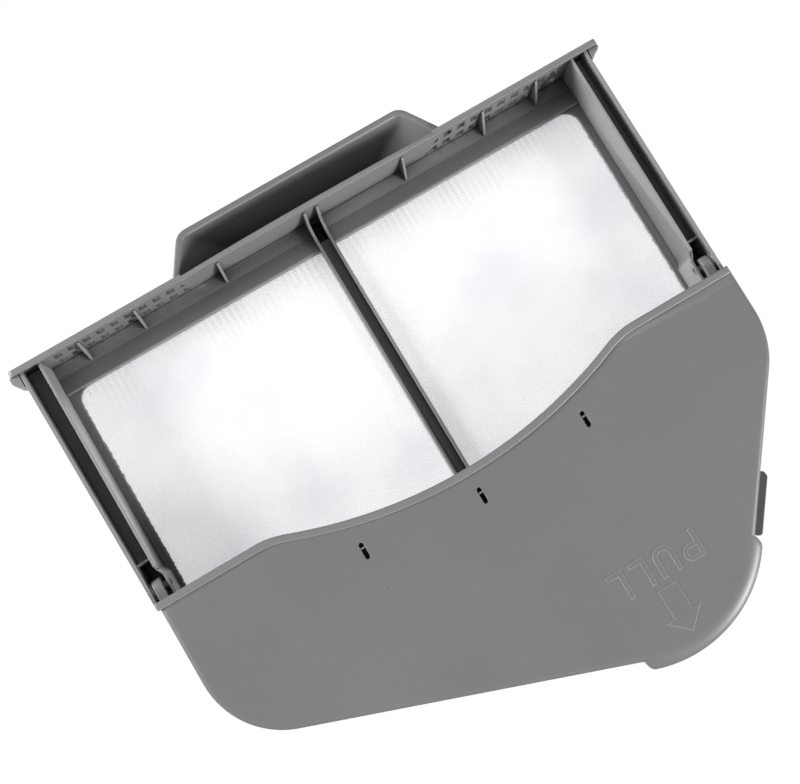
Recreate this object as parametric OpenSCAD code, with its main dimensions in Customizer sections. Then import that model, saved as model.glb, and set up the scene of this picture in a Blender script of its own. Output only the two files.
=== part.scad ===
// Lint filter cartridge of a clothes dryer: a flanged frame with a finger
// scoop, two woven screens in a recess, a lint pocket below them, and a
// hinged cover that opens the pocket.
// +X to the right, -Y to the front (the cover side), +Z up.
// The origin is the middle of the flange's seat, which is its underside.

/* [Flange] */
// Width of the top flange
flange_w = 278.8; // [278:0.2:282]
// Depth of the top flange, front to back
flange_d = 42; // [40:1:46]
// Thickness of the top flange
flange_t = 2.6; // [2.2:0.1:3.2]
// How far the seat land stands out below the rest of the flange's underside
land = 0.3; // [0.2:0.1:0.5]
// Width of one air slot
slot_w = 3.6; // [2.8:0.1:3.8]
// Pitch of the air slots
slot_pitch = 6.6; // [6.4:0.1:6.7]

/* [Handle] */
// Half width of the scoop at its foot
handle_foot = 63.7; // [61:0.1:64]
// Height of the scoop's rim above the seat
handle_top = 18.6; // [16:0.1:22]
// Thickness of the scoop's wall
handle_wall = 3; // [2.4:0.1:3.4]
// Depth of the scoop, front to back
handle_d = 23; // [20:0.5:26]

/* [Frame] */
// Width over the two side rails
body_w = 269.2; // [268:0.2:270]
// Depth of the recess in front of the screens
recess_d = 22; // [20:0.5:24]
// Depth of the rails' guide channels
channel_d = 10; // [8:0.5:12]
// Thickness of the screen frame
frame_t = 2; // [1.8:0.1:2.4]
// Length of the side rails below the seat
rail_len = 110; // [109:0.5:111]
// Bottom edge of the screen windows, below the seat
window_bottom = 135; // [131:0.5:137]
// Top edge of the screen windows, below the seat
window_top = 13.4; // [12:0.2:15]
// Thickness of the woven screen
mesh_t = 0.6; // [0.4:0.1:0.8]

/* [Cover] */
// Height of the cover's side shoulders below the seat
cover_top = 107.8; // [107.6:0.1:108.4]
// Lowest point of the cover's curved top edge, below the seat
cover_dip = 124.5; // [120:0.5:126]
// Wall thickness of the cover
cover_t = 2; // [1.6:0.1:2.2]
// Height of the raised lip along the cover's top edge
lip_h = 3.3; // [2.5:0.1:4]
// How far the lip stands proud of the cover
lip_proud = 0.8; // [0.4:0.1:1.2]
// How far the corner pull tab stands out
tab_out = 4; // [3:0.1:4.5]

/* [Hinge] */
// Radius of the hinge pins
pin_r = 1.5; // [1.3:0.05:1.7]
// Radial running clearance of the pins
pin_gap = 0.06; // [0.02:0.01:0.1]
// Hinge axis below the seat
hinge_z = 103; // [102.8:0.1:103.2]

/* [Hidden] */
$fn = 48;

grey = "#838386";
grey_light = "#909093";
grey_dark = "#4a4a4d";
white = "#f2f2f4";

yf = -flange_d/2;          // front edge of the flange
yr = yf + 2;               // front edges of the rails
yb = yr + recess_d;        // front face of the screen frame
yk = yb + frame_t;         // back face of the screen frame
bw = body_w/2;             // outer faces of the rails
ow = 1.6;                  // outer wall of a rail
ch = 5.6;                  // clear width of a rail's channel
iw = 1.2;                  // inner wall of a rail
xi = bw - ow - ch - iw;    // recess side of the inner walls
cy1 = yr - 0.4;            // back face of the cover plate
cy0 = cy1 - cover_t;       // front face of the cover plate
hy = yr + 3.9;             // hinge axis, front to back
hz = -hinge_z;             // hinge axis height
gusset_x = [109.6, 83.4, 44.2];
hook_x = 51.9;
hook_z = -132.1;
hook_mid_z = -137.2;

// Cover outline: three corner arcs joined by straight edges, and a curved top
cxl = -132.9;              // left edge
cxr = 135.8;               // right edge
r1 = 36.3;
r2 = 51.6;
r3 = 39;
c1 = [cxl + r1, -144.6];   // lower left corner
c2 = [42.5, -179.4];       // lowest corner, where the pull tab is
c3 = [cxr - r3, -129.2];   // right corner
a12 = 249.83;              // outward direction of the bottom edge
a23 = 322.5;               // outward direction of the slanted edge
tab_a0 = 246.2;            // the pull tab's two ends, seen from c2
tab_a1 = 327.7;
dip_r = 208;               // radius of the hollow in the top edge

function arc(c, r, a0, a1, n) = [for (i = [0:n]) let(a = a0 + (a1 - a0)*i/n)
    [c[0] + r*cos(a), c[1] + r*sin(a)]];
function smin(a, b, k) = let(h = max(k - abs(a - b), 0)/k) min(a, b) - h*h*k/4;
function edge_z(x) = smin(-cover_top, -cover_dip + dip_r - sqrt(dip_r*dip_r - x*x), 3);
function lower(d) = concat(arc(c3, r3 - d, 360, a23, 9), arc(c2, r2 - d, a23, a12, 20),
    arc(c1, r1 - d, a12, 180, 16));
// whole outline moved in by d, with the curved top edge
function cover_pts(d) = concat([for (i = [0:56]) let(x = cxl + d + (cxr - cxl - 2*d)*i/56)
    [x, edge_z(x)]], lower(d));
// the part of the outline below z, moved in by d, with a straight top
function pan_pts(d, z) = concat([[cxl + d, z], [cxr - d, z]], lower(d));

module slab(y0, y1) { translate([0, y1, 0]) rotate([90, 0, 0]) linear_extrude(y1 - y0) children(); }
module slab_x(x0, x1) { translate([x0, 0, 0]) rotate([90, 0, 90]) linear_extrude(x1 - x0) children(); }
module block(x0, x1, y0, y1, z0, z1) { translate([x0, y0, z0]) cube([x1 - x0, y1 - y0, z1 - z0]); }
module rod(x0, x1, y, z, r) { translate([x0, y, z]) rotate([0, 90, 0]) cylinder(r = r, h = x1 - x0); }
module rrect(x0, x1, z0, z1, r) {
    translate([x0 + r, z0]) square([x1 - x0 - 2*r, z1 - z0]);
    translate([x0, z0 + r]) square([x1 - x0, z1 - z0 - 2*r]);
    for (x = [x0 + r, x1 - r], z = [z0 + r, z1 - r]) translate([x, z]) circle(r);
}
module both() { children(); mirror([1, 0, 0]) children(); }

// ---- flange ----
module slots() {
    for (k = [0:8]) translate([119.6 - slot_pitch*k - slot_w/2, 0]) {
        translate([0, yr + 3.6]) square([slot_w, 7]);
        translate([0, yr + 14.6]) square([slot_w, yb - yr - 15.2]);
    }
    polygon([[61.9, yr + 14.6], [61.9, yb - 0.6], [54.4, yb - 0.6]]);
    polygon([[61.9, yr + 6.4], [61.9, yr + 10.6], [59.4, yr + 10.6]]);
}
module top_flange() {
    half = handle_foot - 4;    // half width of the scoop's mouth
    bulge = 3;                 // the lip under the mouth bows forward
    br = (half*half + bulge*bulge)/(2*bulge);
    color(grey) difference() {
        linear_extrude(flange_t) difference() {
            union() {
                rrect(-flange_w/2, flange_w/2, yf, -yf, 2);
                polygon(concat([[half, yf + 4], [-half, yf + 4]],
                    [for (i = [0:20]) let(x = half*(i - 10)/10)
                        [x, yf + 0.01 - bulge + br - sqrt(br*br - x*x)]]));
            }
            both() slots();
        }
        // the underside inside the seat land, where the frame joins it
        translate([0, 0, -1]) linear_extrude(land + 1) {
            translate([-bw - 1.8, yr]) square([2*bw + 3.6, yk + 3.6 - yr]);
            translate([-flange_w, yr]) square([2*flange_w, 12.5]);
            translate([-5.2, yb]) square([10.4, 11.6]);
        }
        // sunken floor of the scoop
        translate([0, 0, 1.8]) linear_extrude(flange_t) polygon([[-half, yf - 4], [half, yf - 4], [half, yr],
            [45, yr + handle_d - 3.5], [-45, yr + handle_d - 3.5], [-half, yr]]);
    }
}
module flange_gussets() {
    color(grey) both() for (x = gusset_x) slab_x(x - 0.6, x + 0.6)
        polygon([[yr + 2.4, land], [yr + 2.4, -0.3], [yb - 0.8, -5], [yb, -5], [yb, land]]);
}
module flange_end_stops() {
    color(grey) {
        slab(yr, yr + 12) polygon([[-140.2, land], [-140.2, -2.4], [-139, -4.2], [-137.8, -5], [-bw - 1.5, -5], [-bw - 1.5, land]]);
        slab(yr, yr + 12) polygon([[139.6, land], [139.6, -0.8], [138.6, -2], [136.4, -3], [135.4, -4.2], [bw + 0.1, -4.2], [bw + 0.1, land]]);
    }
}

// ---- finger scoop ----
module scoop_face(foot, cx, cz, r) {
    // round-shouldered trapezium with its foot on the flange
    hull() {
        for (s = [-1, 1]) translate([s*cx, cz]) circle(r, $fn = 32);
        translate([-foot, flange_t]) square([2*foot, 0.3]);
    }
}
module handle_scoop() {
    cz = handle_top - 7;
    w = handle_wall;
    yk2 = yr + handle_d;       // back of the scoop
    color(grey) translate([0.4, 0, 0]) difference() {
        hull() {
            slab(yr, yr + 1) scoop_face(handle_foot, 49.3, cz, 7);
            slab(yk2 - 1, yk2) scoop_face(47, 40, 6.8, 4);
        }
        hull() {
            slab(yr - 1, yr) translate([0, -0.4]) scoop_face(handle_foot - w/0.835, 49.3, cz + 0.4, 7 - w);
            slab(yk2 - w - 0.5, yk2 - w) translate([0, -0.4]) scoop_face(42, 36.5, 5.4, 2.4);
        }
    }
}

// ---- frame ----
module window(s) {
    // from the centre rib to the rail, with its two outer corners rounded
    h = window_bottom - window_top;
    xo = s*(xi - 10.6);
    translate([min(s*3.6, xo), -window_bottom]) square([xi - 14.2, h]);
    translate([min(s*3.6, s*(xi - 3.6)), -window_bottom + 7]) square([xi - 7.2, h - 14]);
    for (z = [-window_bottom + 7, -window_top - 7]) translate([xo, z]) circle(7);
}
module screen_frame() {
    color(grey) difference() {
        union() {
            slab(yb, yk) translate([-xi, -140]) square([2*xi, 140 + land]);
            // sloping sill above the windows
            for (x = [-xi, 3.6]) slab_x(x, x + xi - 3.6)
                polygon([[yb, -5.5], [yb - 1.2, -window_top + 1], [yb - 1.2, -window_top], [yb, -window_top]]);
            slab(yk, yk + 3) difference() {
                translate([-xi, -140]) square([2*xi, 140]);
                translate([-xi + 2, -138]) square([2*xi - 4, 136]);
            }
            block(-4.4, 4.4, yk, yk + 9, -12, land);
        }
        slab(yb - 2, yk + 1) { window(-1); window(1); }
        block(-2.3, 2.3, yb - 2, yk + 7.5, -9.8, -1);
    }
}
// rail at +X; the other is its mirror image
module rail(flare) {
    jog = [[xi + iw, -94.4], [xi, -94.4], [xi - 0.25, -95.6], [xi - 0.9, -96.7], [xi - 1.5, -97.6],
        [xi - 1.8, -98.8], [xi - 1.8, -rail_len], [xi - 0.6, -rail_len], [xi - 0.6, -99.2],
        [xi - 0.3, -98.3], [xi + 0.4, -97.2], [xi + 1, -96]];
    difference() {
        union() {
            // outer wall, leaning by flare at its top
            slab(yr, yk) polygon([[bw - ow, -rail_len], [bw, -rail_len], [bw, -100], [bw + flare, land],
                [bw - ow + flare, land], [bw - ow, -100]]);
            // floor of the guide channel, and the deeper pocket for the hinge below it
            slab(yr + channel_d, yr + channel_d + 1.6) polygon([[xi + iw - 0.1, -91], [bw - ow + 0.1, -91],
                [bw - ow + flare + 0.1, land], [xi + iw - 0.1, land]]);
            block(xi, bw - ow + 0.1, yb, yk, -rail_len, -90.5);
            block(xi, xi + iw, yr, yk, -95, land);
            block(xi + iw - 0.1, bw - ow + 0.1, yr + 2.5, yb + 0.1, -91.5, -90.5);
            slab(yr + 1.5, yb) polygon(jog);
            block(xi - 0.7, bw - ow + 0.1, yr + 9.6, yb + 0.1, -rail_len, -rail_len + 1.4);
            rod(bw - ow - 1.1, bw - ow + 0.1, hy, hz, 3.4);
        }
        rod(bw - ow - 2, bw - 0.6, hy, hz, pin_r + pin_gap);
        rod(xi - 3, xi + 0.5, hy, hz, pin_r + pin_gap);
    }
}
module left_rail() { color(grey) mirror([1, 0, 0]) rail(1.2); }
module right_rail() { color(grey) rail(-0.4); }
module centre_rib() {
    // two walls with a channel between them; they sweep forward under the flange
    color(grey) for (s = [-1, 1]) slab_x(s < 0 ? -3.6 : 2.3, s < 0 ? -2.3 : 3.6)
        polygon(concat([[yb, land], [yr + 2, land], [yr + 2, -0.5]],
            [for (a = [0:15:90]) [yb - 3.6 - 9*(1 - sin(a)), -2.4 - 9*(1 - cos(a))]],
            [[yb - 3.6, -140], [yb, -140]]));
}
module left_mesh() { color(white) slab(yb + 0.7, yb + 0.7 + mesh_t) window(-1); }
module right_mesh() { color(white) slab(yb + 0.7, yb + 0.7 + mesh_t) window(1); }

// ---- lint pocket ----
module pan_wall() {
    color(grey) difference() {
        slab(yr, yb) difference() {
            polygon(pan_pts(2, -rail_len));
            polygon(pan_pts(3.6, -rail_len + 1));
        }
        for (s = [-1, 1]) block(s < 0 ? -140 : 120, s < 0 ? -120 : 140, yr - 1, yr + 9.6, -113.6, -rail_len + 1);
    }
}
module pan_back() {
    color(grey) slab(yb, yk) difference() {
        polygon(pan_pts(2, -rail_len));
        translate([-xi, -140]) square([2*xi, 140]);
    }
}
// grip ledge on the pocket's slanted side, opposite the pull tab's pull
module side_grip() {
    p = c2 + (r2 - 2)*[cos(a23), sin(a23)];
    q = c3 + (r3 - 2)*[cos(a23), sin(a23)];
    u = (q - p)/norm(q - p);
    n = [u[1], -u[0]];
    a = p + 5.3*u;
    b = p + 31.6*u;
    color(grey_dark) slab(yr + 6, yr + 10)
        polygon([a, a + 6.4*n, a + 7.2*n + 0.8*u, b + 7.2*n - 1.8*u, b + 5.6*n, b]);
}
module latch_keeper() {
    // two cheeks that the cover's tongue slides between
    p = [58, -213];
    color(grey) for (x = [p[0] - 2.8, p[0] + 1.2]) block(x, x + 1.6, yr + 2, yb, p[1] - 8, p[1]);
}

// ---- cover ----
module hook_windows() {
    for (q = [[-hook_x, hook_z], [0, hook_mid_z], [hook_x, hook_z]]) translate(q) {
        translate([-1, -2.6]) square([2, 5.2]);
        for (z = [-2.6, 2.6]) translate([0, z]) circle(1);
    }
}
module lint_cover() {
    color(grey) difference() {
        union() {
            slab(cy0, cy1) polygon(cover_pts(0));
            slab(cy0 - lip_proud, cy1) polygon(concat(
                [for (i = [0:56]) let(x = -134 + 269*i/56) [x, edge_z(x)]],
                [for (i = [56:-1:0]) let(x = -134 + 269*i/56) [x, edge_z(x) - lip_h]]));
        }
        slab(cy0 - 1, cy1 + 1) hook_windows();
    }
}
module cover_skirt() {
    color(grey) slab(cy1, cy1 + 4) difference() {
        polygon(pan_pts(0, -115));
        polygon(pan_pts(1.6, -114));
    }
}
module cover_hooks() {
    // a small hook behind each window, with its cross bar in the window
    color(grey) for (q = [[-hook_x, hook_z], [0, hook_mid_z], [hook_x, hook_z]]) translate([q[0], 0, q[1]]) {
        block(-1, 1, cy0 + 0.5, cy1, 0.9, 1.7);
        for (x = [-2.6, 1]) block(x, x + 1.6, cy1, cy1 + 4.4, -1.6, 2.2);
        block(-2.6, 2.6, cy1 + 3, cy1 + 4.4, 0.9, 4.4);
        block(-2.6, 2.6, cy1, cy1 + 4.4, 0.9, 1.7);
    }
}
module pull_tab() {
    n = 30;
    function ramp(t) = let(s = min(1, min(t, 1 - t)*20)) sqrt(1 - (1 - s)*(1 - s));
    // distance from c2 to the cover's edge
    function rim(a) = a < a12 ? r2/cos(a12 - a) : a > a23 ? r2/cos(a - a23) : r2;
    color(grey_light) slab(cy0, cy1 + 2.4) polygon(concat(
        arc(c2, r2, a23, a12, 20),
        [for (i = [0:60]) let(t = i/60, a = tab_a0 + (tab_a1 - tab_a0)*t,
            r = rim(a) + 0.02 + (r2 + tab_out - rim(a))*ramp(t)) [c2[0] + r*cos(a), c2[1] + r*sin(a)]]));
}
module latch_tongue() { color(grey) block(57.2, 58.8, cy1, cy1 + 9, -220, -214); }
module arm() {
    color(grey_light) difference() {
        union() {
            rod(xi + 1.3, bw - ow - 1.4, hy, hz, 3.9);
            slab_x(xi + 1.3, bw - ow - 1.4) polygon([[hy - 3.9, hz], [hy - 3.9, -108], [cy1, -108],
                [cy1, -113], [cy1 + 2.2, -113], [hy + 3.9, -105.5], [hy + 3.9, hz]]);
        }
        rod(xi, bw, hy, hz, pin_r);
    }
}
module hinge_arm_left() { mirror([1, 0, 0]) arm(); }
module hinge_arm_right() { arm(); }
module pin() { color(grey_dark) rod(xi - 1.4, bw - 0.9, hy, hz, pin_r); }
module hinge_pin_left() { mirror([1, 0, 0]) pin(); }
module hinge_pin_right() { pin(); }

// ---- raised marking: a plain word and an arrow towards the pull tab ----
module letter_p() {
    square([2.2, 12.4]);
    difference() {
        union() {
            translate([0, 5.2]) square([5, 7.2]);
            translate([5, 8.8]) circle(3.6);
        }
        translate([2.2, 7.2]) square([2.8, 3.2]);
        translate([5, 8.8]) circle(1.6);
    }
}
module letter_u() {
    for (x = [0, 7]) translate([x, 4.6]) square([2.2, 7.8]);
    difference() {
        translate([4.6, 4.6]) circle(4.6);
        translate([4.6, 4.6]) circle(2.4);
        translate([-1, 4.6]) square([12, 6]);
    }
}
module letter_l() { square([2.2, 12.4]); square([7.2, 2.2]); }
module cover_marking() {
    color(grey_light) slab(cy0 - 0.4, cy0) {
        translate([65.6, -190.6]) rotate(180) {
            letter_p();
            translate([11.2, 0]) letter_u();
            translate([23.4, 0]) letter_l();
            translate([33.6, 0]) letter_l();
        }
        polygon([[40.3, -205.8], [49.1, -205.8], [49.1, -218.4], [52.8, -218.4], [44.6, -226],
            [36.4, -218.4], [40.3, -218.4]]);
    }
}

top_flange();
flange_gussets();
flange_end_stops();
handle_scoop();
screen_frame();
left_rail();
right_rail();
centre_rib();
left_mesh();
right_mesh();
pan_wall();
pan_back();
side_grip();
latch_keeper();
lint_cover();
cover_skirt();
cover_hooks();
pull_tab();
latch_tongue();
hinge_arm_left();
hinge_arm_right();
hinge_pin_left();
hinge_pin_right();
cover_marking();
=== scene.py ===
import bpy, bmesh, math
from mathutils import Vector, Matrix, noise
from mathutils.geometry import tessellate_polygon


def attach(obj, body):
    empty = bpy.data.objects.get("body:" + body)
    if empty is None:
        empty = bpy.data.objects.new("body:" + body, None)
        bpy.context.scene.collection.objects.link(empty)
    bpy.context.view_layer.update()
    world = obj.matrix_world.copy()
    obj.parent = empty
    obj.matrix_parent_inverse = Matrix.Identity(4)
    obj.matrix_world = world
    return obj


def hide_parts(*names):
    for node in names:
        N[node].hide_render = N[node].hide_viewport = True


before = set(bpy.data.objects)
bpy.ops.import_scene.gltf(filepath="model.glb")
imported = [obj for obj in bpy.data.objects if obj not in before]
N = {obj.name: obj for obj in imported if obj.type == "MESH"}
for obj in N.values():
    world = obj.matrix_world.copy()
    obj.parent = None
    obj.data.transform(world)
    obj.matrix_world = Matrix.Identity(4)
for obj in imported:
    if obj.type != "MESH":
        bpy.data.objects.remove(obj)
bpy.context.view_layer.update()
S = 0.001

# ------------------------------------------------------------------ camera
CAM = (-51.72, -564.11, -133.85)
ROLL, TILT, YAW, FPX = 30.847, 5.172, 4.695, 1354.1


def make_camera():
    r, t, y = math.radians(ROLL), math.radians(TILT), math.radians(YAW)
    f = Vector((math.sin(y) * math.cos(t), math.cos(y) * math.cos(t), math.sin(t)))
    right = f.cross(Vector((0, 0, 1))).normalized()
    up = right.cross(f)
    r2 = right * math.cos(r) - up * math.sin(r)
    u2 = right * math.sin(r) + up * math.cos(r)
    cam = bpy.data.objects.new("camera", bpy.data.cameras.new("camera"))
    bpy.context.scene.collection.objects.link(cam)
    m = Matrix((r2, u2, -f)).transposed().to_4x4()
    m.translation = Vector(CAM) * S
    cam.matrix_world = m
    cam.data.sensor_fit = "HORIZONTAL"
    cam.data.sensor_width = 36.0
    cam.data.lens = FPX / 800.0 * 36.0
    cam.data.clip_start, cam.data.clip_end = 0.01, 50.0
    bpy.context.scene.camera = cam


make_camera()

# ------------------------------------------------------------------ materials


def new_material(name):
    m = bpy.data.materials.new(name)
    m.use_nodes = True
    nt = m.node_tree
    nt.nodes.clear()
    out = nt.nodes.new("ShaderNodeOutputMaterial")
    return m, nt, out


def noise_node(nt, scale, detail=2.0, rough=0.5, vec=None):
    n = nt.nodes.new("ShaderNodeTexNoise")
    n.inputs["Scale"].default_value = scale
    n.inputs["Detail"].default_value = detail
    n.inputs["Roughness"].default_value = rough
    if vec is not None:
        nt.links.new(vec, n.inputs["Vector"])
    return n


def ramp(nt, fac, stops):
    r = nt.nodes.new("ShaderNodeValToRGB")
    el = r.color_ramp.elements
    el[0].position, el[0].color = stops[0][0], (*stops[0][1], 1)
    el[1].position, el[1].color = stops[-1][0], (*stops[-1][1], 1)
    for p, c in stops[1:-1]:
        e = el.new(p)
        e.color = (*c, 1)
    nt.links.new(fac, r.inputs["Fac"])
    return r


def math_node(nt, op, a, b=None, clamp=False):
    n = nt.nodes.new("ShaderNodeMath")
    n.operation = op
    n.use_clamp = clamp
    for i, v in enumerate((a, b)):
        if v is None:
            continue
        if isinstance(v, (int, float)):
            n.inputs[i].default_value = v
        else:
            nt.links.new(v, n.inputs[i])
    return n.outputs[0]


def plastic(name, base, rough=0.5, spark=1500.0, spark_bump=0.03, spread=0.05, spec=0.4, edge=0.10, crevice_shade=0.0, reach=9.0):
    """Moulded polypropylene: fine spark-eroded grain, slow flow variation of tone and gloss, painted highlights on
    edges, painted shade in crevices.
    """
    m, nt, out = new_material(name)
    b = nt.nodes.new("ShaderNodeBsdfPrincipled")
    nt.links.new(b.outputs[0], out.inputs[0])
    tc = nt.nodes.new("ShaderNodeTexCoord").outputs["Object"]
    flow = noise_node(nt, 18.0, 3.0, 0.5, tc)
    fine = noise_node(nt, 420.0, 4.0, 0.6, tc)
    mixf = math_node(nt, "ADD", math_node(nt, "MULTIPLY", flow.outputs["Fac"], 0.65), math_node(nt, "MULTIPLY", fine.outputs["Fac"], 0.35))
    lo = tuple(c * (1 - spread) for c in base)
    hi = tuple(c * (1 + spread) for c in base)
    col = ramp(nt, mixf, [(0.3, lo), (0.7, hi)])
    # painted highlight on edges: the pointiness of the mesh, lightened a little
    geo = nt.nodes.new("ShaderNodeNewGeometry")
    pt = ramp(nt, geo.outputs["Pointiness"], [(0.52, (0, 0, 0)), (0.62, (1, 1, 1))])
    edge_highlight = math_node(nt, "MULTIPLY", pt.outputs[0], edge)
    mx = nt.nodes.new("ShaderNodeMix")
    mx.data_type = "RGBA"
    nt.links.new(edge_highlight, mx.inputs[0])
    nt.links.new(col.outputs[0], mx.inputs[6])
    # colour of the painted edge highlight
    mx.inputs[7].default_value = (0.75, 0.75, 0.76, 1)
    last = mx.outputs[2]
    if crevice_shade:
        # painted shade: colour darkened by ambient occlusion in slots and inner corners
        ao = nt.nodes.new("ShaderNodeAmbientOcclusion")
        ao.samples = 12
        ao.inputs["Distance"].default_value = reach * S
        shade_ramp = ramp(nt, ao.outputs["AO"], [(0.22, (1 - crevice_shade,) * 3), (0.80, (1, 1, 1))])
        mul = nt.nodes.new("ShaderNodeMix")
        mul.data_type = "RGBA"
        mul.blend_type = "MULTIPLY"
        mul.inputs[0].default_value = 1.0
        nt.links.new(last, mul.inputs[6])
        nt.links.new(shade_ramp.outputs[0], mul.inputs[7])
        last = mul.outputs[2]
    nt.links.new(last, b.inputs["Base Color"])
    rr = math_node(nt, "ADD", math_node(nt, "MULTIPLY", noise_node(nt, 60.0, 3.0, 0.5, tc).outputs["Fac"], 0.16), rough - 0.08)
    nt.links.new(rr, b.inputs["Roughness"])
    b.inputs["Specular IOR Level"].default_value = spec
    if spark_bump:
        grain = noise_node(nt, spark, 2.0, 0.55, tc)
        bump = nt.nodes.new("ShaderNodeBump")
        bump.inputs["Strength"].default_value = 0.35
        bump.inputs["Distance"].default_value = spark_bump * S
        nt.links.new(grain.outputs["Fac"], bump.inputs["Height"])
        nt.links.new(bump.outputs[0], b.inputs["Normal"])
    return m


def woven(name):
    """Monofilament mesh: plain weave with open cells, white translucent threads."""
    m, nt, out = new_material(name)
    tc = nt.nodes.new("ShaderNodeTexCoord").outputs["Object"]
    sep = nt.nodes.new("ShaderNodeSeparateXYZ")
    nt.links.new(tc, sep.inputs[0])
    pitch = 0.62 * S
    wob = noise_node(nt, 30.0, 1.0, 0.5, tc)
    off = math_node(nt, "MULTIPLY", wob.outputs["Fac"], 1.3)
    u = math_node(nt, "ADD", math_node(nt, "MULTIPLY", sep.outputs[0], 1 / pitch), off)
    v = math_node(nt, "ADD", math_node(nt, "MULTIPLY", sep.outputs[2], 1 / pitch), off)
    # distance from a thread's middle, 0 to 0.5
    du = math_node(nt, "ABSOLUTE", math_node(nt, "SUBTRACT", math_node(nt, "FRACT", u), 0.5))
    dv = math_node(nt, "ABSOLUTE", math_node(nt, "SUBTRACT", math_node(nt, "FRACT", v), 0.5))
    half = 0.30
    iu = math_node(nt, "LESS_THAN", du, half)
    iv = math_node(nt, "LESS_THAN", dv, half)
    solid = math_node(nt, "MAXIMUM", iu, iv)
    # over and under: the sign of the chequer decides which thread is on top
    cu = math_node(nt, "FLOOR", u)
    cv = math_node(nt, "FLOOR", v)
    par = math_node(nt, "ABSOLUTE", math_node(nt, "MODULO", math_node(nt, "ADD", cu, cv), 2.0))
    hu = math_node(nt, "MULTIPLY", math_node(nt, "SUBTRACT", half, du, True), 2.4)
    hv = math_node(nt, "MULTIPLY", math_node(nt, "SUBTRACT", half, dv, True), 2.4)
    pu = math_node(nt, "ADD", hu, math_node(nt, "MULTIPLY", par, 0.35))
    pv = math_node(nt, "ADD", hv, math_node(nt, "MULTIPLY", math_node(nt, "SUBTRACT", 1.0, par), 0.35))
    height = math_node(nt, "MAXIMUM", math_node(nt, "MULTIPLY", pu, iu), math_node(nt, "MULTIPLY", pv, iv))
    bump = nt.nodes.new("ShaderNodeBump")
    bump.inputs["Strength"].default_value = 0.55
    bump.inputs["Distance"].default_value = 0.12 * S
    nt.links.new(height, bump.inputs["Height"])
    tone = noise_node(nt, 22.0, 2.0, 0.5, tc)
    col = ramp(nt, tone.outputs["Fac"], [(0.3, (0.80, 0.80, 0.84)), (0.55, (0.93, 0.93, 0.95))])
    # painted shade: towards the window's top edge the threads are darkened, in rows of dashes and in an even
    # fall-off, for the flange's shadow and the shading of folds
    near_top = nt.nodes.new("ShaderNodeMapRange")
    near_top.inputs["From Min"].default_value = -0.034
    near_top.inputs["From Max"].default_value = -0.0134
    nt.links.new(sep.outputs[2], near_top.inputs["Value"])
    rows = math_node(nt, "ADD", math_node(nt, "MULTIPLY", sep.outputs[2], 1 / (1.1 * S)), math_node(nt, "MULTIPLY", sep.outputs[0], 0.13 / S))
    rows = math_node(nt, "FRACT", math_node(nt, "ADD", rows, math_node(nt, "MULTIPLY", wob.outputs["Fac"], 6.0)))
    rows = math_node(nt, "LESS_THAN", rows, 0.42)
    cols = math_node(nt, "LESS_THAN", math_node(nt, "FRACT", math_node(nt, "MULTIPLY", u, 0.21)), 0.62)
    patch = ramp(nt, noise_node(nt, 55.0, 2.0, 0.5, tc).outputs["Fac"], [(0.38, (0, 0, 0)), (0.62, (1, 1, 1))])
    shade = math_node(nt, "MULTIPLY", math_node(nt, "MULTIPLY", rows, cols), math_node(nt, "MULTIPLY", near_top.outputs[0], patch.outputs[0]))
    shade = math_node(nt, "ADD", math_node(nt, "MULTIPLY", shade, 0.34), math_node(nt, "MULTIPLY", math_node(nt, "POWER", near_top.outputs[0], 3.0), 0.20), True)
    painted_shade_mix = nt.nodes.new("ShaderNodeMix")
    painted_shade_mix.data_type = "RGBA"
    nt.links.new(shade, painted_shade_mix.inputs[0])
    nt.links.new(col.outputs[0], painted_shade_mix.inputs[6])
    painted_shade_mix.inputs[7].default_value = (0.16, 0.16, 0.17, 1)
    dif = nt.nodes.new("ShaderNodeBsdfPrincipled")
    nt.links.new(painted_shade_mix.outputs[2], dif.inputs["Base Color"])
    dif.inputs["Roughness"].default_value = 0.38
    dif.inputs["Specular IOR Level"].default_value = 0.45
    nt.links.new(bump.outputs[0], dif.inputs["Normal"])
    trl = nt.nodes.new("ShaderNodeBsdfTranslucent")
    nt.links.new(painted_shade_mix.outputs[2], trl.inputs["Color"])
    thread = nt.nodes.new("ShaderNodeMixShader")
    thread.inputs[0].default_value = 0.45
    nt.links.new(dif.outputs[0], thread.inputs[1])
    nt.links.new(trl.outputs[0], thread.inputs[2])
    tra = nt.nodes.new("ShaderNodeBsdfTransparent")
    mix = nt.nodes.new("ShaderNodeMixShader")
    nt.links.new(solid, mix.inputs[0])
    nt.links.new(tra.outputs[0], mix.inputs[1])
    nt.links.new(thread.outputs[0], mix.inputs[2])
    nt.links.new(mix.outputs[0], out.inputs[0])
    return m


# the crevice setting paints shade into slots, recesses and inner corners; the edge setting paints highlights along
# edges
FRAME = plastic("frame_grey", (0.168, 0.168, 0.170), rough=0.42, spark=2200.0, spark_bump=0.007, edge=0.16, crevice_shade=0.82)
WALL = plastic("wall_grey", (0.168, 0.168, 0.170), rough=0.42, spark=2200.0, spark_bump=0.007, edge=0.16, crevice_shade=0.78, reach=17.0)
RAIL = plastic("rail_grey", (0.142, 0.142, 0.144), rough=0.42, spark_bump=0.0, edge=0.30)
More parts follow.
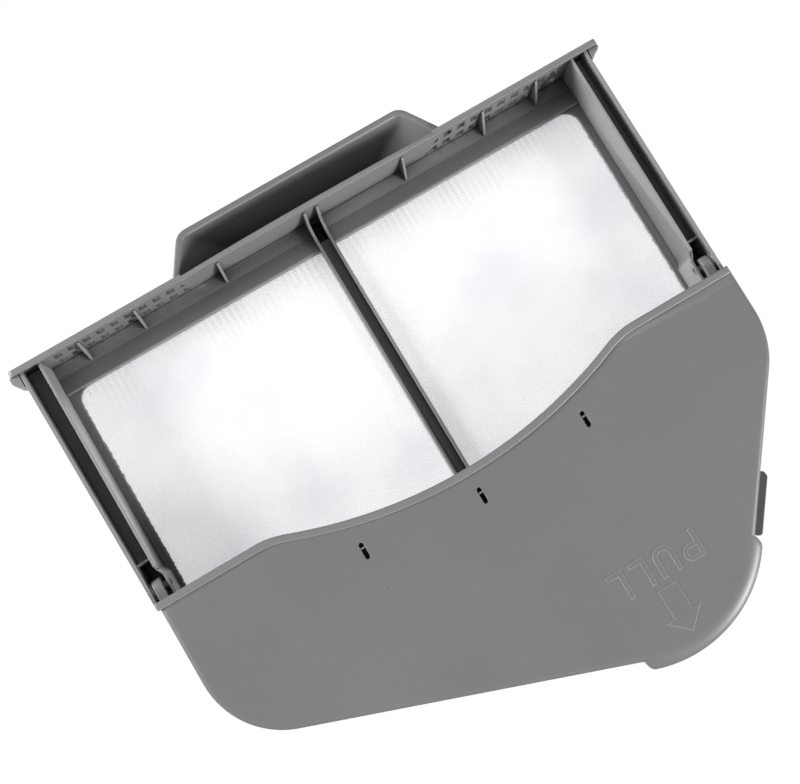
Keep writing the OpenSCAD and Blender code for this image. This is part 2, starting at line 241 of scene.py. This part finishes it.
# painted highlight: lighter grey for the marking's chamfer faces, so its outlines read as lit edges
EDGE_HIGHLIGHT_GREY = plastic("painted_edge_highlight", (0.36, 0.36, 0.365), rough=0.40, spark_bump=0.0, edge=0.0)
SCOOP = plastic("scoop_grey", (0.160, 0.160, 0.162), rough=0.42, spark=2200.0, spark_bump=0.007, edge=0.14, crevice_shade=0.15, reach=14.0)
MARK = plastic("marking_grey", (0.152, 0.152, 0.155), rough=0.40, spark=1500.0, spark_bump=0.015, spec=0.5, edge=0.0)
COVER = plastic("cover_grey", (0.152, 0.152, 0.155), rough=0.40, spark=1500.0, spark_bump=0.015, spec=0.5)
LIP = plastic("lip_grey", (0.180, 0.180, 0.182), rough=0.38, spark=2200.0, spark_bump=0.012)
# painted shade: near-black for the boxes behind the snap windows
DARK = plastic("shade_black", (0.012, 0.012, 0.013), rough=0.7, spark=1500.0, spark_bump=0.02, spec=0.1, edge=0.0)
GRIP = plastic("grip_dark", (0.060, 0.060, 0.062), rough=0.5, spark=1300.0, spark_bump=0.05)
PIN = plastic("pin_grey", (0.115, 0.115, 0.118), rough=0.38, spark=2600.0, spark_bump=0.01)
WEAVE = woven("woven_screen")

# ------------------------------------------------------------------ mesh helpers


def build(name, verts, faces, body, mat, sharp=32.0, bevel=0.0, segments=2, replaces=(), merge=1e-4):
    """verts in mm. One closed mesh, outward normals, smooth shading with sharp edges by angle."""
    me = bpy.data.meshes.new(name)
    bm = bmesh.new()
    vs = [bm.verts.new(Vector(v) * S) for v in verts]
    for f in faces:
        try:
            bm.faces.new([vs[i] for i in f])
        except ValueError:
            pass
    bmesh.ops.remove_doubles(bm, verts=bm.verts, dist=merge * S)
    bmesh.ops.dissolve_degenerate(bm, edges=bm.edges, dist=merge * S * 0.5)
    loose = [v for v in bm.verts if not v.link_faces]
    bmesh.ops.delete(bm, geom=loose, context="VERTS")
    bmesh.ops.recalc_face_normals(bm, faces=bm.faces)
    for f in bm.faces:
        f.smooth = True
    bm.to_mesh(me)
    bm.free()
    me.set_sharp_from_angle(angle=math.radians(sharp))
    ob = bpy.data.objects.new(name, me)
    bpy.context.scene.collection.objects.link(ob)
    ob.data.materials.append(mat)
    if bevel:
        add_bevel(ob, bevel, segments)
    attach(ob, body)
    if replaces:
        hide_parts(*replaces)
    return ob


def add_bevel(ob, width, segments=2, angle=35.0):
    b = ob.modifiers.new("round", "BEVEL")
    b.width = width * S
    b.segments = segments
    b.limit_method = "ANGLE"
    b.angle_limit = math.radians(angle)
    b.harden_normals = False
    b.use_clamp_overlap = True
    w = ob.modifiers.new("normals", "WEIGHTED_NORMAL")
    w.keep_sharp = False
    w.weight = 80


def dress(node, mat, bevel=0.25, segments=2, angle=35.0):
    """A CAD node that stays: flat faces joined, edges rounded, and its material."""
    ob = N[node]
    if not ob.material_slots:
        ob.data.materials.append(mat)
    for s in ob.material_slots:
        s.link = "OBJECT"
        s.material = mat
    wd = ob.modifiers.new("weld", "WELD")
    wd.merge_threshold = 0.002 * S
    if bevel:
        d = ob.modifiers.new("planar", "DECIMATE")
        d.decimate_type = "DISSOLVE"
        d.angle_limit = math.radians(0.5)
        b = ob.modifiers.new("round", "BEVEL")
        b.width = bevel * S
        b.segments = segments
        b.limit_method = "ANGLE"
        b.angle_limit = math.radians(angle)
        b.use_clamp_overlap = False
        b.harden_normals = True
    return ob


def rings_to_faces(n_rings, n, closed=True, start=0):
    faces = []
    m = n if closed else n - 1
    for k in range(n_rings - 1):
        for i in range(m):
            j = (i + 1) % n
            a, b = start + k * n, start + (k + 1) * n
            faces.append((a + i, a + j, b + j, b + i))
    return faces


def cap(loops, verts, base_index):
    """Triangles filling 2D loops (first outer, others holes). loops: lists of (index, (x, z))."""
    polys = [[Vector((p[0], p[1], 0.0)) for _, p in lp] for lp in loops]
    flat = [idx for lp in loops for idx, _ in lp]
    return [tuple(flat[i] for i in t) for t in tessellate_polygon(polys)]


# ------------------------------------------------------------------ the cover's outline
CXL, CXR = -132.9, 135.8
R1, R2, R3 = 36.3, 51.6, 39.0
C1, C2, C3 = (CXL + R1, -144.6), (42.5, -179.4), (CXR - R3, -129.2)
A12, A23 = 249.83, 322.5
TAB0, TAB1, TAB_R = 246.2, 327.7, 55.6
CY0, CY1 = -21.4, -19.4


def smin(a, b, k):
    h = max(k - abs(a - b), 0) / k
    return min(a, b) - h * h * k / 4


def edge_z(x):
    return smin(-107.8, -124.5 + 208 - math.sqrt(208 * 208 - x * x), 3)


def lobe(a):
    """Height of the pull tab at direction a from C2, 0 to 1, with quick rounded ends."""
    t = (a - TAB0) / (TAB1 - TAB0)
    s = min(1.0, min(t, 1 - t) * 17)
    if s <= 0:
        return 0.0
    return s * (2 - s)


def rim(a, d=0.0):
    """Distance from C2 to the cover's edge moved in by d."""
    if a < A12:
        return (R2 - d) / math.cos(math.radians(A12 - a))
    if a > A23:
        return (R2 - d) / math.cos(math.radians(a - A23))
    return R2 - d


def outline(d, out=0.0):
    """Closed outline moved in by d. out=1 pushes the pull tab's arc out. d may be a function of the tab's height."""
    pts = []
    dd = d if callable(d) else (lambda l: d)
    n = 96
    d0 = dd(0.0)
    for i in range(n + 1):
        x = CXL + d0 + (CXR - CXL - 2 * d0) * i / n
        pts.append((x, edge_z(x), 0))
    for z in (-114.99, -115.01):
        pts.append((CXR - d0, z, 0))
    for i in range(21):
        a = math.radians(360 + (A23 - 360) * i / 20)
        pts.append((C3[0] + (R3 - d0) * math.cos(a), C3[1] + (R3 - d0) * math.sin(a), 0))
    end = math.radians(TAB1 + 0.3)
    a23 = math.radians(A23)
    p = (C3[0] + (R3 - d0) * math.cos(a23), C3[1] + (R3 - d0) * math.sin(a23))
    q = (C2[0] + rim(TAB1 + 0.3, d0) * math.cos(end), C2[1] + rim(TAB1 + 0.3, d0) * math.sin(end))
    for i in range(1, 12):
        pts.append((p[0] + (q[0] - p[0]) * i / 12, p[1] + (q[1] - p[1]) * i / 12, 0))
    n = 168
    for i in range(n + 1):
        # closer steps at the tab's two ends
        t = i / n
        t = t - 0.11 * math.sin(2 * math.pi * t)
        ad = TAB1 + 0.3 - (TAB1 - TAB0 + 0.6) * t
        l = lobe(ad) if out else 0.0
        r = rim(ad, dd(l)) + (TAB_R - rim(ad)) * l
        a = math.radians(ad)
        pts.append((C2[0] + r * math.cos(a), C2[1] + r * math.sin(a), l))
    start = math.radians(TAB0 - 0.3)
    a12 = math.radians(A12)
    p = (C2[0] + rim(TAB0 - 0.3, d0) * math.cos(start), C2[1] + rim(TAB0 - 0.3, d0) * math.sin(start))
    q = (C1[0] + (R1 - d0) * math.cos(a12), C1[1] + (R1 - d0) * math.sin(a12))
    for i in range(1, 20):
        pts.append((p[0] + (q[0] - p[0]) * i / 20, p[1] + (q[1] - p[1]) * i / 20, 0))
    for i in range(25):
        a = math.radians(A12 + (180 - A12) * i / 24)
        pts.append((C1[0] + (R1 - d0) * math.cos(a), C1[1] + (R1 - d0) * math.sin(a), 0))
    for z in (-115.01, -114.99):
        pts.append((CXL + d0, z, 0))
    return pts


WINDOWS = [(-51.9, -132.1), (0.0, -137.2), (51.9, -132.1)]


def window_loop(c, grow):
    pts = []
    for i in range(12):
        a = math.pi * i / 11
        pts.append((c[0] + (1 + grow) * math.cos(a), c[1] + 2.6 + (1 + grow) * math.sin(a)))
    for i in range(12):
        a = math.pi + math.pi * i / 11
        pts.append((c[0] + (1 + grow) * math.cos(a), c[1] - 2.6 + (1 + grow) * math.sin(a)))
    return pts


def make_cover():
    verts, faces = [], []
    base = outline(0.0)
    n = len(base)

    def yb(p):  # how far back the edge reaches: the skirt starts below the shoulders
        return -15.4 if p[1] < -115.0 else CY1

    rings = []
    # front rounding, wider along the pull tab, after a thin flat ring
    steps = 9
    pts = outline(lambda l: 2.9 + 4.2 * l, out=1.0)
    rings.append([(p[0], CY0, p[1]) for p in pts])
    for k in range(steps + 1):
        th = math.pi / 2 * k / steps
        pts = outline(lambda l, th=th: (2.3 + 4.2 * l) * (1 - math.sin(th)), out=1.0)
        rings.append([(p[0], CY0 + (1.9 + 2.0 * p[2]) * (1 - math.cos(th)) * 0.98, p[1]) for p in pts])
    wall = outline(0.0, out=1.0)
    rings.append([(p[0], min(-17.0, yb(b)), p[1]) for p, b in zip(wall, base)])
    rings.append([(b[0], min(-17.0, yb(b)), b[1]) for b in base])
    rings.append([(b[0], yb(b), b[1]) for b in base])
    inner = outline(1.6)
    rings.append([(p[0], yb(b), p[1]) for p, b in zip(inner, base)])
    rings.append([(p[0], CY1, p[1]) for p in inner])
    for r in rings:
        verts += r
    faces += rings_to_faces(len(rings), n)
    holes_front, holes_back = [], []
    for c in WINDOWS:
        start = len(verts)
        m = len(window_loop(c, 0))
        for grow, y in ((0.9, CY0), (0.55, CY0), (0.22, CY0 + 0.10), (0.0, CY0 + 0.42), (0.0, CY1)):
            verts += [(p[0], y, p[1]) for p in window_loop(c, grow)]
        faces += rings_to_faces(5, m, True, start)
        holes_front.append([(start + i, (verts[start + i][0], verts[start + i][2])) for i in range(m)])
        last = start + 4 * m
        holes_back.append([(last + i, (verts[last + i][0], verts[last + i][2])) for i in range(m)])
    outer_f = [(i, (verts[i][0], verts[i][2])) for i in range(n)]
    last = (len(rings) - 1) * n
    outer_b = [(last + i, (verts[last + i][0], verts[last + i][2])) for i in range(n)]
    faces += cap([outer_f] + holes_front, verts, 0)
    faces += cap([outer_b] + holes_back, verts, 0)
    return build("cover_shell", verts, faces, "cover", COVER, sharp=30.0,
                 replaces=("lint_cover", "cover_skirt", "pull_tab"))


def make_lip():
    """Raised band along the cover's curved top edge, with soft front corners and a thin groove below it."""
    x0, x1 = -134.0, 135.0
    prof = []  # (offset down from the edge, y)
    ya, yz = CY0 - 0.8, CY1
    for i in range(6):
        a = math.pi / 2 * i / 5
        prof.append((0.7 * (1 - math.sin(a)) , ya + 0.7 * (1 - math.cos(a))))
    prof = prof[::-1]
    prof = [(0.0, yz)] + prof
    for i in range(6):
        a = math.pi / 2 * i / 5
        prof.append((3.3 - 0.5 * (1 - math.sin(a)), ya + 0.5 * (1 - math.cos(a))))
    prof.append((3.3, CY0 + 0.05))
    prof.append((3.3, yz))
    n = len(prof)
    xs = []
    m = 150
    for i in range(m + 1):
        xs.append(x0 + (x1 - x0) * i / m)
    verts, faces = [], []

    def shrink(x):  # returns x unchanged; the end rings below draw the profile in for rounded ends
        return x

    # end rings drawn in for a rounded end
    rows = []
    for e, (dx, k) in enumerate(((0.0, 0.55), (0.12, 0.3), (0.35, 0.1), (0.7, 0.0))):
        rows.append((x0 + dx, k))
    rows += [(x, 0.0) for x in xs[1:-1]]
    for dx, k in ((0.7, 0.0), (0.35, 0.1), (0.12, 0.3), (0.0, 0.55)):
        rows.append((x1 - dx, k))
    for x, k in rows:
        ez = edge_z(max(min(x, 207), -207))
        for d, y in prof:
            dd = d + (1.65 - d) * k * 0.5
            yy = y + (yz - 1.0 - y) * k * 0.6 if y < yz - 0.5 else y
            verts.append((x, yy, ez - dd))
    faces += rings_to_faces(len(rows), n, True)
    faces.append(tuple(range(n)))
    faces.append(tuple(reversed(range((len(rows) - 1) * n, len(rows) * n))))
    return build("cover_lip", verts, faces, "cover", LIP, sharp=40.0)


def box_faces(i):
    return [(i, i + 1, i + 3, i + 2), (i + 4, i + 6, i + 7, i + 5), (i, i + 4, i + 5, i + 1),
            (i + 2, i + 3, i + 7, i + 6), (i, i + 2, i + 6, i + 4), (i + 1, i + 5, i + 7, i + 3)]


def make_box(name, x, y, z, body, mat, bevel=0.15):
    verts = [(a, b, c) for a in x for b in y for c in z]
    return build(name, verts, box_faces(0), body, mat, sharp=30.0, bevel=bevel)


def ring_mark(name, cx, cz, y, r, w, h, body, mat, back=0.1):
    """A thin raised ring on a front face, as gates and ejector pins leave."""
    verts, m = [], 40
    prof = [(r - w, y + back), (r - w, y - h * 0.4), (r - w * 0.5, y - h), (r + w * 0.5, y - h), (r + w, y - h * 0.4), (r + w, y + back)]
    for rr, yy in prof:
        for i in range(m):
            a = 2 * math.pi * i / m
            verts.append((cx + rr * math.cos(a), yy, cz + rr * math.sin(a)))
    faces = rings_to_faces(len(prof), m)
    # back face closes the ring
    for i in range(m):
        j = (i + 1) % m
        faces.append((i, j, (len(prof) - 1) * m + j, (len(prof) - 1) * m + i))
    return build(name, verts, faces, body, mat, sharp=60.0)


def scoop_outline(foot, cx, cz, r, z0, na=14, ns=5):
    """Half outline from the right foot over the top to the left foot, as (x, z)."""
    # tangent from the foot to the shoulder circle
    dx, dz = foot - cx, z0 - cz
    L = math.hypot(dx, dz)
    base = math.atan2(dz, dx)
    al = base + math.acos(max(-1, min(1, r / L)))
    pts = []
    tx, tz = cx + r * math.cos(al), cz + r * math.sin(al)
    for i in range(ns):
        t = i / ns
        pts.append((foot + (tx - foot) * t, z0 + (tz - z0) * t))
    for i in range(na + 1):
        a = al + (math.pi / 2 - al) * i / na
        pts.append((cx + r * math.cos(a), cz + r * math.sin(a)))
    top = []
    for i in range(1, 12):
        t = i / 12
        top.append((cx - 2 * cx * t, cz + r))
    left = [(-x, z) for x, z in reversed(pts)]
    return pts + top + left


def make_scoop():
    yr, yk2 = -19.0, 4.0
    A = (63.7, 49.3, 11.6, 7.0)
    B = (47.0, 40.0, 6.8, 4.0)
    C = (63.7 - 3 / 0.835, 49.3, 11.6, 4.0)
    D = (42.0, 35.5, 4.0, 3.4)

    def lerp(p, q, t):
        return tuple(a + (b - a) * t for a, b in zip(p, q))

    def ring(p, inset, y, z0):
        f, cx, cz, r = p
        return [(x + 0.4, y, z) for x, z in scoop_outline(f - inset / 0.835, cx, cz, max(r - inset, 0.3), z0)]

    rings = []
    # outer side, from the back wall's rounded edge to the rim
    rings.append(ring(B, 3.0, yk2, 2.6))
    for k in range(7):
        th = math.pi / 2 * k / 6
        rings.append(ring(B, 2.4 * (1 - math.sin(th)), yk2 - 2.4 * (1 - math.cos(th)), 2.6))
    for t in (0.75, 0.5, 0.25):
        y = yr + 1.0 + (yk2 - 2.4 - yr - 1.0) * t
        rings.append(ring(lerp(A, B, t), 0, y, 2.6))
    for k in range(6):
        th = math.pi / 2 * k / 5
        rings.append(ring(A, 0.9 * (1 - math.cos(th)), yr + 0.9 * (1 - math.sin(th)), 2.6))
    for k in range(6):
        th = math.pi / 2 * k / 5
        rings.append(ring(A, 3.0 - 0.9 * (1 - math.sin(th)), yr + 0.9 * (1 - math.cos(th)), 2.6 - 0.4 * k / 5))
    inner = []
    for t in (0.25, 0.5, 0.75, 0.9):
        y = yr + 0.9 + (yk2 - 3.0 - 2.2 - yr - 0.9) * t / 0.9
        inner.append(ring(lerp(C, D, t), 0, y, 2.2))
    for k in range(1, 7):
        th = math.pi / 2 * k / 6
        P = lerp(C, D, 0.9 + 0.1 * k / 6)
        inner.append(ring(P, 2.2 * (1 - math.cos(th)), yk2 - 3.0 - 2.2 + 2.2 * math.sin(th), 2.2))
    rings += inner
    n = len(rings[0])
    verts = [v for r in rings for v in r]
    faces = rings_to_faces(len(rings), n, False)
    faces.append(tuple(range(n)))  # back wall, outside
    last = (len(rings) - 1) * n
    faces.append(tuple(reversed(range(last, last + n))))  # back wall, inside
    # the two feet and the line where each wall stands on the flange
    right = [k * n for k in range(len(rings))]
    left = [k * n + n - 1 for k in range(len(rings))]
    faces.append(tuple(right + left[::-1]))
    return build("scoop_shell", verts, faces, "cartridge", SCOOP, sharp=34.0,
                 replaces=("handle_scoop",))


def make_screen(name, s, node):
    """Taut woven sheet in its window, cut on a grid with rounded corners and a slight slackness."""
    x0, x1, z0, z1, r = 3.6, 122.6, -135.0, -13.4, 7.0
    nx, nz = 60, 60
    bm = bmesh.new()
    grid = []
    for j in range(nz + 1):
        row = []
        for i in range(nx + 1):
            x, z = x0 + (x1 - x0) * i / nx, z0 + (z1 - z0) * j / nz
            # corner points pulled on to the corner's arc
            for cx, cz in ((x1 - r, z0 + r), (x1 - r, z1 - r)):
                if (x - cx) * (1 if cx > 60 else -1) > 0 and (z - cz) * (1 if cz > -70 else -1) > 0:
                    dx, dz = abs(x - cx), abs(z - cz)
                    q = max(dx, dz)
                    L = math.hypot(dx, dz)
                    if L > 1e-6:
                        k = q / L
                        x, z = cx + (x - cx) * k, cz + (z - cz) * k
            u, v = (x - x0) / (x1 - x0), (z - z0) / (z1 - z0)
            hold = min(1.0, 6 * min(u, 1 - u, v, 1 - v))
            w = noise.noise(Vector((s * x * 0.018, z * 0.02, 3.1 * s))) * 0.42 * hold
            row.append(bm.verts.new(Vector((s * x, 4.0 + w, z)) * S))
        grid.append(row)
    for j in range(nz):
        for i in range(nx):
            q = (grid[j][i], grid[j][i + 1], grid[j + 1][i + 1], grid[j + 1][i])
            bm.faces.new(q if s > 0 else q[::-1])
    bmesh.ops.remove_doubles(bm, verts=bm.verts, dist=1e-7)
    for f in bm.faces:
        f.smooth = True
    me = bpy.data.meshes.new(name)
    bm.to_mesh(me)
    bm.free()
    ob = bpy.data.objects.new(name, me)
    bpy.context.scene.collection.objects.link(ob)
    ob.data.materials.append(WEAVE)
    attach(ob, "cartridge")
    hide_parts(node)
    return ob


def make_flash(name, s):
    """Ragged skin of plastic that the moulding leaves on the mesh along a window's outer edge."""
    x1, r = 122.6, 7.0
    verts, faces = [], []
    n = 150
    for i in range(n + 1):
        z = -130.0 + 112.0 * i / n
        j = noise.noise(Vector((z * 0.9, 7.7 * s, 0.3))) * 0.55 + noise.noise(Vector((z * 2.7, 1.7 * s, 5.3))) * 0.45
        wid = 0.25 + 0.75 * max(-0.6, j)
        for x, y in ((x1 + 0.5, 3.45), (x1 - wid, 3.45), (x1 - wid - 0.15, 3.6), (x1 - wid, 3.75), (x1 + 0.5, 3.75)):
            verts.append((s * x, y, z))
    faces = rings_to_faces(n + 1, 5, True)
    faces.append(tuple(range(5)))
    faces.append(tuple(reversed(range(n * 5, n * 5 + 5))))
    return build(name, verts, faces, "cartridge", FRAME, sharp=50.0)


# ------------------------------------------------------------------ pieces
make_cover()
make_lip()
make_scoop()
for tag, c in (("left", (-51.3, -149.7)), ("right", (51.3, -149.7))):
    ring_mark("gate_ring_" + tag, c[0], c[1], CY0, 1.45, 0.16, 0.07, "cover", COVER)
# painted shade: black boxes just behind the snap windows stand in for the dark inside seen through them
for tag, c in zip(("left", "middle", "right"), WINDOWS):
    make_box("snap_shade_" + tag, (c[0] - 1.5, c[0] + 1.5), (CY1 + 0.02, CY1 + 0.5), (c[1] - 4.1, c[1] + 4.1),
             "cover", DARK, 0.0)
for tag, c in (("left", (-119.0, -3.4)), ("middle", (-9.4, -3.6)), ("right", (121.6, -5.2))):
    ring_mark("ejector_ring_" + tag, c[0], c[1], 3.0, 1.9, 0.17, 0.07, "cartridge", WALL)
make_screen("screen_left", -1, "left_mesh")
make_screen("screen_right", 1, "right_mesh")
make_flash("flash_left", -1)
make_flash("flash_right", 1)

dress("top_flange", FRAME, 0.3)
dress("flange_gussets", FRAME, 0.22)
dress("flange_end_stops", FRAME, 0.35)
dress("screen_frame", WALL, 0.35, 3)
dress("left_rail", RAIL, 0.25)
dress("right_rail", RAIL, 0.25)
dress("centre_rib", FRAME, 0.25)
dress("pan_wall", FRAME, 0.25)
dress("pan_back", FRAME, 0.4)
dress("side_grip", GRIP, 0.5, 3)
dress("latch_keeper", FRAME, 0.25)
dress("cover_hooks", COVER, 0.2)
dress("latch_tongue", COVER, 0.3)
dress("hinge_arm_left", LIP, 0.3)
dress("hinge_arm_right", LIP, 0.3)
dress("hinge_pin_left", PIN, 0.25)
dress("hinge_pin_right", PIN, 0.25)
mk = dress("cover_marking", MARK, 0)
ms = mk.modifiers.new("sink", "DISPLACE")
ms.direction = "Y"
ms.mid_level = 0.0
ms.strength = 0.17 * S
md = mk.modifiers.new("planar", "DECIMATE")
md.decimate_type = "DISSOLVE"
md.angle_limit = math.radians(0.5)
# painted highlight: the chamfer faces take the lighter grey in material slot 1
mb = mk.modifiers.new("chamfer", "BEVEL")
mb.use_clamp_overlap = False
mb.harden_normals = True
mb.width = 0.16 * S
mk.data.materials.append(EDGE_HIGHLIGHT_GREY)
mk.material_slots[1].link = "OBJECT"
mk.material_slots[1].material = EDGE_HIGHLIGHT_GREY
mb.material = 1
mb.segments = 1
mb.limit_method = "ANGLE"
mb.angle_limit = math.radians(35)


# ------------------------------------------------------------------ stage and light


def white_for_camera(nt, strength, shader):
    lp = nt.nodes.new("ShaderNodeLightPath")
    mx = nt.nodes.new("ShaderNodeMix")
    mx.data_type = "FLOAT"
    nt.links.new(lp.outputs["Is Camera Ray"], mx.inputs[0])
    mx.inputs[2].default_value = strength
    mx.inputs[3].default_value = 1.0
    nt.links.new(mx.outputs[0], shader.inputs["Strength"])


def make_stage():
    """Pale floor that curves up into a backdrop far behind the object."""
    prof = [(-4.0, -1.8)]
    prof += [(1.0 + 0.8 * math.sin(a), -1.8 + 0.8 * (1 - math.cos(a))) for a in [math.pi / 2 * i / 10 for i in range(11)]]
    prof.append((1.8, 4.5))
    verts, faces = [], []
    for x in (-5.0, 5.0):
        verts += [(x, y, z) for y, z in prof]
    n = len(prof)
    for i in range(n - 1):
        faces.append((i, i + 1, n + i + 1, n + i))
    me = bpy.data.meshes.new("stage")
    me.from_pydata(verts, [], faces)
    ob = bpy.data.objects.new("stage", me)
    bpy.context.scene.collection.objects.link(ob)
    m, nt, out = new_material("stage_paper")
    e = nt.nodes.new("ShaderNodeEmission")
    e.inputs["Color"].default_value = (1, 1, 1, 1)
    white_for_camera(nt, 0.34, e)
    nt.links.new(e.outputs[0], out.inputs[0])
    ob.data.materials.append(m)


make_stage()
w = bpy.data.worlds.new("studio")
bpy.context.scene.world = w
w.use_nodes = True
bg = w.node_tree.nodes["Background"]
bg.inputs["Color"].default_value = (1, 1, 1, 1)
white_for_camera(w.node_tree, 0.34, bg)


def area(name, pos, target, size, power):
    d = bpy.data.lights.new(name, "AREA")
    d.shape = "SQUARE"
    d.size = size
    d.energy = power
    o = bpy.data.objects.new(name, d)
    bpy.context.scene.collection.objects.link(o)
    o.location = pos
    o.rotation_mode = "QUATERNION"
    o.rotation_quaternion = (Vector(target) - Vector(pos)).to_track_quat("-Z", "Y")
    o.visible_camera = False
    return o


area("left_box", (-1.45, -0.66, 0.62), (0, 0, -0.1), 0.7, 46.0)
area("right_box", (1.02, -0.62, -1.30), (0, 0, -0.12), 0.7, 40.0)
area("back", (0.0, 1.1, -0.1), (0, 0, -0.1), 2.2, 23.0)

sc = bpy.context.scene
sc.view_settings.view_transform = "Standard"
sc.view_settings.look = "None"
sc.view_settings.exposure = 0.0
sc.view_settings.gamma = 1.0
